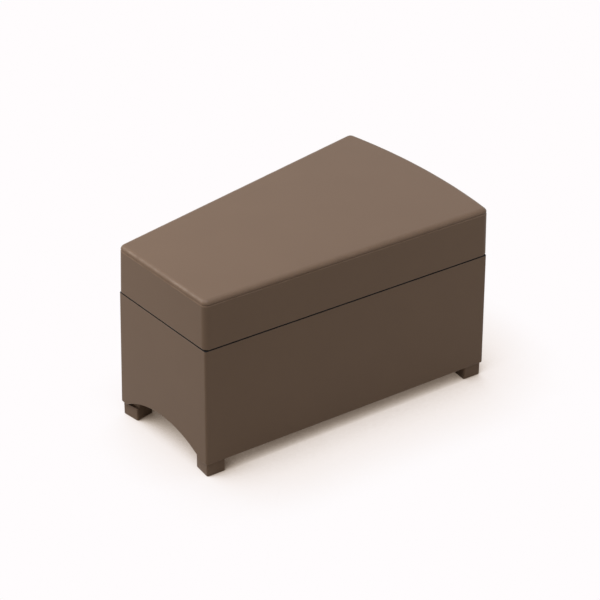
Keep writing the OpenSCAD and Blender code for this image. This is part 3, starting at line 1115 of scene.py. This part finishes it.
@dataclass
class Screw:
    """A cross-recessed screw with its point along -Z and its seat at the origin."""

    head: ScrewHead
    length: float
    radius: float = 2.4 * MM
    head_radius: float = 4.6 * MM
    head_height: float = 2.1 * MM
    recess_width: float = 1.1 * MM
    recess_reach: float = 2.6 * MM
    recess_depth: float = 1.3 * MM
    recess_taper: Triple = (0.45, 0.8, 1.0)
    point: float = 1.2 * MM
    point_share: float = 0.45
    rim: float = 0.15 * MM
    dome_turn: float = 66.0
    dome_steps: int = 6
    dome_foot: float = 0.35

    def profile(self) -> list[Pair]:
        """Radius and height from the point to the top of the head."""
        shank = [
            (self.radius * self.point_share, -self.length),
            (self.radius, -self.length + self.point), (self.radius, 0.0),
        ]
        if self.head is ScrewHead.COUNTERSUNK:
            wide = self.head_radius - self.rim
            return [*shank, (wide, self.head_height - self.rim), (wide, self.head_height)]
        top, rise = math.sin(math.radians(self.dome_turn)), 1 - self.dome_foot
        dome = [
            (-self.head_radius * across, self.head_height * (self.dome_foot + rise * up / top))
            for across, up in arc((0, 0), 1, 0, self.dome_turn, self.dome_steps)
        ]
        return [*shank, (self.head_radius, 0.0), *dome]

    def build(self) -> Piece:
        """Models the screw and sinks the cross into its head."""
        piece = turned(f"{self.head.value}_screw_pattern", self.profile())
        top = Vector((0, 0, self.head_height))
        long, deep = 2 * self.recess_reach, 2 * self.recess_depth
        cutter = add_blocks("cross_cutter", [Block(top, Vector((long, self.recess_width, deep)))])
        pick(cutter, lambda vertex: vertex.co.z < self.head_height)
        bpy.ops.transform.resize(value=self.recess_taper)
        bpy.ops.object.mode_set(mode="OBJECT")
        other = copy_of(cutter, "cross_cutter_turned", Matrix.Rotation(math.pi / 2, 4, "Z"))
        for tool in (cutter, other):
            activate(piece)
            bpy.ops.object.modifier_add(type="BOOLEAN")
            cut = piece.modifiers[-1]
            cut.operation, cut.solver, cut.object = "DIFFERENCE", "EXACT", tool
            bpy.ops.object.modifier_apply(modifier=cut.name)
            discard(tool)
        return smooth(piece, METAL_ANGLE)


@dataclass
class Legs:
    """Four square block legs in the corners, with rubber pads and the screws that hold them."""

    body: BodyShell
    side: float = 40 * MM
    corner: float = 4 * MM
    least_corner: float = 1 * MM
    clearance: float = 2.2 * MM
    corner_steps: int = 6
    low_edge: float = 1.0 * MM
    low_steps: int = 4
    low_wear_and_highlight: float = 0.6
    soft_edge: float = 0.6 * MM
    pad_margin: float = 2 * MM
    pad_thickness: float = 3 * MM
    pad_proud: float = 1 * MM
    groove_depth: float = 0.8 * MM
    grooves: tuple[Pair, ...] = ((4.0 * MM, 5.5 * MM), (8.5 * MM, 10.0 * MM))
    shoulder: float = 5 * MM
    shoulder_slope: float = 1.2 * MM
    shoulder_gap: float = 0.3 * MM
    screw_near: float = 17 * MM
    screw_far: float = 32 * MM
    screw_length: float = 33 * MM
    screw_turns: Pair = (0.5, 1.1)
    names: tuple[str, ...] = ("front_narrow", "rear_narrow", "front_wide", "rear_wide")
    quarter_turns: tuple[int, ...] = (0, -1, 1, 2)

    def point(self, number: int, along: float, inwards: float) -> Vector:
        """A point of a leg from its outer corner: along the long wall, then inwards from it."""
        inset = PLAN.lean_at(LEVEL.leg_top) + self.body.wall + self.clearance
        narrow = number < 2
        spot = PLAN.narrow_corner(inset) if narrow else PLAN.wide_corner(inset)
        turn = Matrix.Rotation(-PLAN.wedge, 2)
        point = spot + turn @ Vector((along if narrow else -along, inwards))
        return Vector((point.x, -point.y)) if number % 2 else point

    def matrix(self, number: int) -> Matrix:
        """Where the middle of a leg stands, turned so that its outer corner faces out."""
        turn = PLAN.wedge if number % 2 else -PLAN.wedge
        turn += self.quarter_turns[number] * math.pi / 2
        middle = self.point(number, self.side / 2, self.side / 2)
        return Matrix.Translation((middle.x, middle.y, 0)) @ Matrix.Rotation(turn, 4, "Z")

    def rings(self, stations: list[Pair], out: float) -> list[Ring]:
        """Rounded squares about the leg's middle.

        Args:
            stations: Inset from the leg's sides and height of each square.
            out: How far the two outer sides, -X and -Y, stand out.

        Returns:
            The squares' points.
        """
        corners = [(1, 1, 0.0), (-1, 1, 90.0), (-1, -1, 180.0), (1, -1, 270.0)]
        rings = []
        for inset, height in stations:
            radius = max(self.corner - inset, self.least_corner)
            middle = (self.side + out) / 2 - inset - radius
            ring = []
            for right, back, start in corners:
                for step in range(self.corner_steps + 1):
                    angle = math.radians(start + 90 * step / self.corner_steps)
                    x = right * middle + radius * math.cos(angle) - out / 2
                    y = back * middle + radius * math.sin(angle) - out / 2
                    ring.append(Vector((x, y, height)))
            rings.append(ring)
        return rings

    def leg(self) -> Piece:
        """Models one leg, with the pocket for its pad and a shoulder under the walls' foot."""
        low, top, soft = self.pad_proud, LEVEL.leg_top, self.soft_edge
        ledge = PLAN.foot - self.shoulder_gap
        edge = arc((self.low_edge, low + self.low_edge), self.low_edge, -90, 0, self.low_steps)
        pocket = [(self.pad_margin, self.pad_thickness), (self.pad_margin, low)]
        foot = self.rings([*pocket, *edge, (0.0, ledge - self.shoulder_slope)], self.shoulder)
        shank = self.rings([(0.0, ledge), (0.0, top - soft), (soft, top)], 0.0)
        # the leg's rounded lower edge gets wear and a painted highlight
        edges = [0.0] * len(pocket) + [self.low_wear_and_highlight] * len(edge) + [0.0] * (1 + len(shank))
        return smooth(sweep_rings("leg_pattern", foot + shank, closed=False, edges=edges))

    def pad(self) -> Piece:
        """Models one pad, with a soft edge and two grooves in its sole."""
        side, soft, deep = self.pad_margin, self.soft_edge, self.groove_depth
        stations = [(side, self.pad_thickness), (side, soft), (side + soft, 0.0)]
        for start, end in self.grooves:
            near, far = side + start, side + end
            stations += [(near, 0.0), (near, deep), (far, deep), (far, 0.0)]
        rings = self.rings(stations, self.shoulder)
        return smooth(sweep_rings("pad_pattern", rings, closed=False))

    def dress(self, finishes: Finishes) -> None:
        """Builds the legs, pads and screws and gives them their finish."""
        screw = Screw(ScrewHead.PAN, self.screw_length).build()
        leg, pad = self.leg(), self.pad()
        spots = ((self.screw_near, self.screw_far), (self.screw_far, self.screw_near))
        pads, screws = [], []
        for number, name in enumerate(self.names):
            made = copy_of(leg, f"leg_block_{name}", self.matrix(number))
            finishes.dress(made, Slot.LEG, Rider.BASE, [f"leg_{name}"])
            pads.append(copy_of(pad, f"foot_pad_{name}", self.matrix(number)))
            for which, (turn, spot) in enumerate(zip(self.screw_turns, spots)):
                point = self.point(number, *spot)
                seat = Matrix.Translation((point.x, point.y, LEVEL.floor_top))
                matrix = seat @ Matrix.Rotation(turn + number, 4, "Z")
                screws.append(copy_of(screw, f"leg_screw_{name}_{which}", matrix))
        for pattern in (leg, pad, screw):
            discard(pattern)
        for piece in pads:
            finishes.dress(piece, Slot.RUBBER, Rider.BASE, ["foot_pads"])
        for piece in screws:
            finishes.dress(piece, Slot.SCREW, Rider.BASE, ["leg_screws"])


@dataclass
class BinFloor:
    """The panel of the bin, with ribs under it and bosses over the legs."""

    legs: Legs
    edge: float = 1 * MM
    edge_steps: int = 3
    clearance: float = 1 * MM
    rib_depth: float = 12 * MM
    rib_wall: float = 3 * MM
    rib_pitch: float = 66 * MM
    rib_root: float = 1 * MM
    rib_edge: float = 0.8 * MM
    boss_height: float = 5 * MM
    boss_edge: float = 0.5 * MM

    def build(self) -> list[Piece]:
        """Models the panel, its ribs and its bosses."""
        body = self.legs.body
        top = LEVEL.floor_top
        inset = PLAN.lean_at(top) + body.wall + self.clearance
        path = inset + self.legs.corner
        stations = [
            (inset + self.edge, LEVEL.floor), (inset, LEVEL.floor + self.edge),
            *arc((inset + self.edge, top - self.edge), self.edge, 0, 90, self.edge_steps),
        ]
        rings = [PLAN.ring(near, path - near, height) for near, height in stations]
        panel = smooth(sweep_rings("bin_floor_panel", rings, closed=False))
        leg_inset = PLAN.lean_at(LEVEL.leg_top) + body.wall + self.legs.clearance
        rib_end = inset + body.ledge_width + self.legs.side + leg_inset
        low, high = LEVEL.floor - self.rib_depth, LEVEL.floor + self.rib_root
        blocks = ribs(self.rib_pitch, self.rib_wall, rib_end, low, high)
        grid = rib_piece("bin_floor_ribs", blocks, self.rib_edge)
        start = body.ledge_width + self.clearance
        side = self.legs.side - start
        bosses = []
        for number in range(len(self.legs.names)):
            point = self.legs.point(number, start + side / 2, start + side / 2)
            turn = PLAN.wedge if number % 2 else -PLAN.wedge
            middle = Vector((point.x, point.y, LEVEL.leg_top + self.boss_height / 2))
            bosses.append(Block(middle, Vector((side, side, self.boss_height)), turn))
        return [panel, grid, rib_piece("bin_floor_bosses", bosses, self.boss_edge)]

    def dress(self, finishes: Finishes) -> None:
        """Builds the floor and gives it its finish."""
        panel, *others = self.build()
        finishes.dress(panel, Slot.BODY, Rider.BASE, ["bin_floor"])
        for piece in others:
            finishes.dress(piece, Slot.BODY, Rider.BASE, [])


@dataclass
class Hinges:
    """Two butt hinges on the rear wall, with their pins, screws and backing plates."""

    body: BodyShell
    spacing: float = 340 * MM
    length: float = 64 * MM
    leaf: float = 2.5 * MM
    leaf_edge: float = 0.25 * MM
    countersink_floor: float = 0.4 * MM
    axis_offset: float = 5.6 * MM
    pin_radius: float = 2.5 * MM
    pin_head: float = 1.5 * MM
    pin_head_rim: float = 1 * MM
    pin_edge: float = 0.4 * MM
    pin_steps: int = 48
    plate: float = 3 * MM
    plate_margin: float = 6 * MM
    plate_corner: float = 3 * MM
    plate_corner_steps: int = 5
    plate_edge: float = 0.4 * MM
    screw_edge: float = 8 * MM
    screw_past: float = 1 * MM
    screw_turns: Triple = (0.7, 0.4, 0.3)
    row_pitch: float = 12 * MM
    backing_gap: float = 5 * MM
    ends: tuple[str, str] = ("narrow", "wide")

    @property
    def rows(self) -> Pair:
        """Distances of the screw rows from the pin."""
        body = self.body
        slope = body.lip_inset + body.lip_wall - PLAN.lean_at(LEVEL.rim) - body.wall / 2
        first = LEVEL.seal / 2 + body.lip_wall + slope + self.backing_gap + self.plate_margin
        return first, first + self.row_pitch

    def matrix(self, number: int) -> Matrix:
        """The frame of a hinge, from the seam: x along the wall, y out of it and z up it."""
        wall = (PLAN.x_wide - PLAN.x_narrow) / math.cos(PLAN.wedge)
        along = (wall + (self.spacing if number else -self.spacing)) / 2
        up = (LEVEL.seam - PLAN.foot) / math.cos(PLAN.lean)
        corner = Matrix.Translation((PLAN.x_narrow, PLAN.narrow_width / 2, PLAN.foot))
        turn = Matrix.Rotation(PLAN.wedge, 4, "Z") @ Matrix.Rotation(PLAN.lean, 4, "X")
        return corner @ turn @ Matrix.Translation((along, 0, up))

    def pin(self) -> Piece:
        """Models one pin, from head to head along Z."""
        thin, wide, soft = self.pin_radius, self.pin_radius + self.pin_head_rim, self.pin_edge
        head, far = self.pin_head, self.length + 2 * self.pin_head
        profile = [
            (wide - soft, 0), (wide, soft), (wide, head), (thin, head),
            (thin, far - head), (wide, far - head), (wide, far - soft), (wide - soft, far),
        ]
        return smooth(turned("pin_pattern", profile, self.pin_steps))

    def plate_block(self, wall: float) -> Piece:
        """Models one backing plate above the pin, inside a wall of this thickness."""
        tall = self.row_pitch + 2 * self.plate_margin
        middle = Vector((0, -wall - self.plate / 2, sum(self.rows) / 2))
        size = Vector((self.length, self.plate, tall))
        piece = add_blocks("plate_pattern", [Block(middle, size)])
        bpy.ops.mesh.select_mode(type="EDGE")
        bpy.ops.mesh.select_all(action="DESELECT")
        cage = bmesh.from_edit_mesh(piece.data)
        for edge in cage.edges:
            first, second = edge.verts
            edge.select = abs(first.co.y - second.co.y) > self.plate / 2
        bmesh.update_edit_mesh(piece.data)
        bevel(self.plate_corner, self.plate_corner_steps)
        pick(piece, lambda vertex: vertex.co.y < middle.y)
        bevel(self.plate_edge, SOFT_SEGMENTS)
        return smooth(piece)

    def dress(self, finishes: Finishes) -> None:
        """Builds the hinges and gives them their finish."""
        pin = self.pin()
        sides = (
            ("body", Rider.BASE, self.body.wall, -1),
            ("lid", Rider.LID, self.body.lid.wall, 1),
        )
        along = self.matrix(1) @ self.matrix(0).inverted()
        for side, rider, *_ in sides:
            narrow, wide = (f"hinge_{end}_{side}_leaf" for end in self.ends)
            leaf = smooth(softened_copy(narrow, f"{narrow}_finished", self.leaf_edge), METAL_ANGLE)
            finishes.dress(copy_of(leaf, f"{wide}_finished", along), Slot.HINGE, rider, [wide])
            finishes.dress(leaf, Slot.HINGE, rider, [narrow])
        lying = Matrix.Translation((-self.length / 2 - self.pin_head, self.axis_offset, 0))
        for number, end in enumerate(self.ends):
            matrix = self.matrix(number) @ lying @ Matrix.Rotation(math.pi / 2, 4, "Y")
            made = copy_of(pin, f"hinge_{end}_pin_turned", matrix)
            finishes.dress(made, Slot.HINGE, Rider.BASE, [f"hinge_{end}_pin"])
        discard(pin)
        for side, rider, wall, up in sides:
            self.dress_side(finishes, side, rider, wall, up)

    def dress_side(
        self, finishes: Finishes, side: str, rider: Rider, wall: float, up: int
    ) -> None:
        """Builds the backing plates and screws of the body's leaves or the lid's.

        Args:
            finishes: The finishes.
            side: Which leaves they are.
            rider: The body that they move with.
            wall: The thickness of the wall that they go through.
            up: 1 puts plates and rows above the pin, -1 below it.
        """
        length = wall + self.plate + self.screw_past + self.countersink_floor
        head = self.leaf - self.countersink_floor
        screw = Screw(ScrewHead.COUNTERSUNK, length, head_height=head).build()
        plate = self.plate_block(wall)
        shift = Matrix.Translation((0, 0, 0 if up > 0 else -sum(self.rows)))
        out = Matrix.Rotation(-math.pi / 2, 4, "X")
        by_end, by_row, by_side = self.screw_turns
        for number, end in enumerate(self.ends):
            made = copy_of(plate, f"{side}_backing_plate_{end}", self.matrix(number) @ shift)
            finishes.dress(made, Slot.HINGE, rider, [f"{side}_backing_plates"])
            for across, where in ((-1, "near"), (1, "far")):
                column = across * (self.length / 2 - self.screw_edge)
                for row, height in enumerate(self.rows):
                    spot = Matrix.Translation((column, self.countersink_floor, up * height))
                    angle = by_end * number + by_row * row + by_side * across
                    matrix = self.matrix(number) @ spot @ out @ Matrix.Rotation(angle, 4, "Z")
                    made = copy_of(screw, f"{side}_screw_{end}_{where}_{row}", matrix)
                    finishes.dress(made, Slot.SCREW, rider, [f"hinge_{side}_screws"])
        discard(screw)
        discard(plate)


# The room


@dataclass
class Studio:
    """Pale floor, soft light and the camera at the photograph's angle."""

    floor_size: float = 60.0
    key: float = 2.45
    key_colour: Colour = (1.0, 1.02, 1.1)
    lamp_power: float = 8.0
    lamp_colour: Colour = (1.02, 0.98, 0.92)
    lamp_size: float = 0.8
    lamp_place: Triple = (-1.1, 0.9, 1.3)
    key_spread: float = math.radians(70)
    key_height: float = 3.0
    key_direction: Triple = (-0.22, 0.11, 1.0)
    fill_power: float = 0.9
    fill_place: Triple = (1.1, -1.0, 0.45)
    sky: float = 0.14
    backdrop: Colour = (1.0, 0.973, 0.982)
    bounce: Colour = (0.47, 0.43, 0.365)
    shadow_reach: float = 250 * MM
    shadow_samples: int = 16
    shadow_from: Triple = (-0.4, 0.3, 1.0)
    shadow_tones: tuple[tuple[float, Colour], ...] = (
        (0.0, (0.02, 0.012, 0.008)), (0.2, (0.12, 0.088, 0.065)), (0.35, (0.34, 0.28, 0.23)),
        (0.475, (0.61, 0.53, 0.47)), (0.575, (0.82, 0.75, 0.71)), (0.7, (0.925, 0.865, 0.84)),
        (0.94, (1.0, 0.973, 0.982)), (1.0, (1.0, 0.973, 0.982)),
    )
    target: Triple = (-10.8 * MM, 0.0, 215 * MM)
    looking: Triple = (0.54600, 0.64854, -0.53034)
    roll: float = math.radians(0.6)
    distance: float = 4332 * MM
    framing: Pair = (-14.09 * MM, -8.89 * MM)
    focal_pixels: float = 1977.0
    frame_pixels: float = 600.0
    sensor: float = 36.0
    sight: float = 100.0

    def build(self) -> None:
        """Makes the floor, the lights and the camera."""
        self.add_world()
        self.add_floor()
        self.add_lights()
        self.add_camera()
        bpy.context.scene.view_settings.view_transform = "Standard"

    @staticmethod
    def backdrop_rays(tree: Tree) -> Socket:
        """A mask of the rays that see the backdrop: the camera's, reflected and clear ones."""
        path = add_node(tree, "LightPath").outputs
        mask = path["Is Camera Ray"]
        for kind in ("Is Glossy Ray", "Is Transmission Ray"):
            mask = combine(tree, "MAXIMUM", mask, path[kind])
        return mask

    def add_world(self) -> None:
        """A white backdrop that lights the object softly."""
        world = bpy.data.worlds.new("studio")
        bpy.context.scene.world = world
        world.use_nodes = True
        tree = world.node_tree
        rays = self.backdrop_rays(tree)
        level = add_node(tree, "MapRange", Value=rays, To_Min=self.sky, To_Max=1.0)
        background = tree.nodes["Background"].inputs
        fill(tree, background["Color"], self.backdrop)
        fill(tree, background["Strength"], level.outputs["Result"])

    def add_floor(self) -> None:
        """A wide floor, seen from above only: white, and darker where the step shades it."""
        deselect()
        bpy.ops.mesh.primitive_plane_add(size=self.floor_size)
        floor = name_piece(bpy.context.object, "floor")
        material = bpy.data.materials.new("floor")
        material.use_nodes = True
        tree = material.node_tree
        tree.nodes.remove(tree.nodes["Principled BSDF"])
        x, y, z = Vector(self.shadow_from).normalized()
        tilt = add_node(tree, "CombineXYZ", X=x, Y=y, Z=z).outputs["Vector"]
        shadow = add_node(tree, "AmbientOcclusion", Distance=self.shadow_reach, Normal=tilt)
        shadow.samples = self.shadow_samples
        tone = add_node(tree, "ValToRGB", Fac=shadow.outputs["AO"])
        stops = tone.color_ramp.elements
        for position, colour in self.shadow_tones:
            stop = stops[-int(position)] if position in (0.0, 1.0) else stops.new(position)
            stop.color = (*colour, 1)
        seen = add_node(tree, "Emission", Color=tone.outputs["Color"])
        clear = add_node(tree, "BsdfTransparent")
        below = add_node(tree, "NewGeometry").outputs["Backfacing"]
        surface = add_node(tree, "BsdfDiffuse", Color=self.bounce).outputs[0]
        for mask, other in ((self.backdrop_rays(tree), seen), (below, clear)):
            mixed = add_node(tree, "MixShader", Fac=mask)
            tree.links.new(surface, mixed.inputs[1])
            tree.links.new(other.outputs[0], mixed.inputs[2])
            surface = mixed.outputs[0]
        fill(tree, tree.nodes["Material Output"].inputs["Surface"], surface)
        floor.data.materials.append(material)
        floor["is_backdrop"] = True

    def add_lights(self) -> None:
        """A broad key above the narrow end, a lamp that fades along the tread, and a fill."""
        deselect()
        bpy.ops.object.light_add(type="SUN", location=(0, 0, self.key_height))
        key = bpy.context.object
        key.rotation_euler = Vector(self.key_direction).to_track_quat("Z", "Y").to_euler()
        key.data.energy, key.data.angle = self.key, self.key_spread
        key.data.color = self.key_colour
        for spot, power in ((self.lamp_place, self.lamp_power), (self.fill_place, self.fill_power)):
            aim = Vector(spot) - Vector(self.target)
            bpy.ops.object.light_add(type="AREA", location=spot)
            lamp = bpy.context.object
            lamp.rotation_euler = aim.to_track_quat("Z", "Y").to_euler()
            lamp.data.energy, lamp.data.size = power, self.lamp_size
            lamp.data.color = self.lamp_colour

    def add_camera(self) -> None:
        """The camera, with the photograph's turn, roll and framing."""
        deselect()
        forward = Vector(self.looking).normalized()
        level = forward.cross(Vector((0, 0, 1))).normalized()
        upright = level.cross(forward)
        right = level * math.cos(self.roll) + upright * math.sin(self.roll)
        up = upright * math.cos(self.roll) - level * math.sin(self.roll)
        eye = Vector(self.target) - self.distance * forward
        eye -= self.framing[0] * right + self.framing[1] * up
        bpy.ops.object.camera_add()
        camera = bpy.context.object
        axes = Matrix((right, up, -forward)).transposed().to_4x4()
        camera.matrix_world = Matrix.Translation(eye) @ axes
        camera.data.sensor_width = self.sensor
        camera.data.lens = self.focal_pixels / self.frame_pixels * self.sensor
        camera.data.clip_end = self.sight
        bpy.context.scene.camera = camera


def write_sizes() -> None:
    """Puts the solid model's box and the dressed model's box together, without writing them
    anywhere.
    """
    boxes = {"cad": CAD_BOX, "visual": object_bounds()}
    {name: [list(corner) for corner in box] for name, box in boxes.items()}


def main() -> None:
    """Builds and dresses the pieces, then the room."""
    logging.basicConfig(level=logging.INFO, format="%(message)s")
    finishes = Finishes()
    lid = LidShell()
    body = BodyShell(lid=lid)
    legs = Legs(body=body)
    lid.dress(finishes)
    body.dress(finishes)
    RimSeal(body=body).dress(finishes)
    BinFloor(legs=legs).dress(finishes)
    legs.dress(finishes)
    Hinges(body=body).dress(finishes)
    Studio().build()
    write_sizes()


if __name__ == "__main__":
    main()
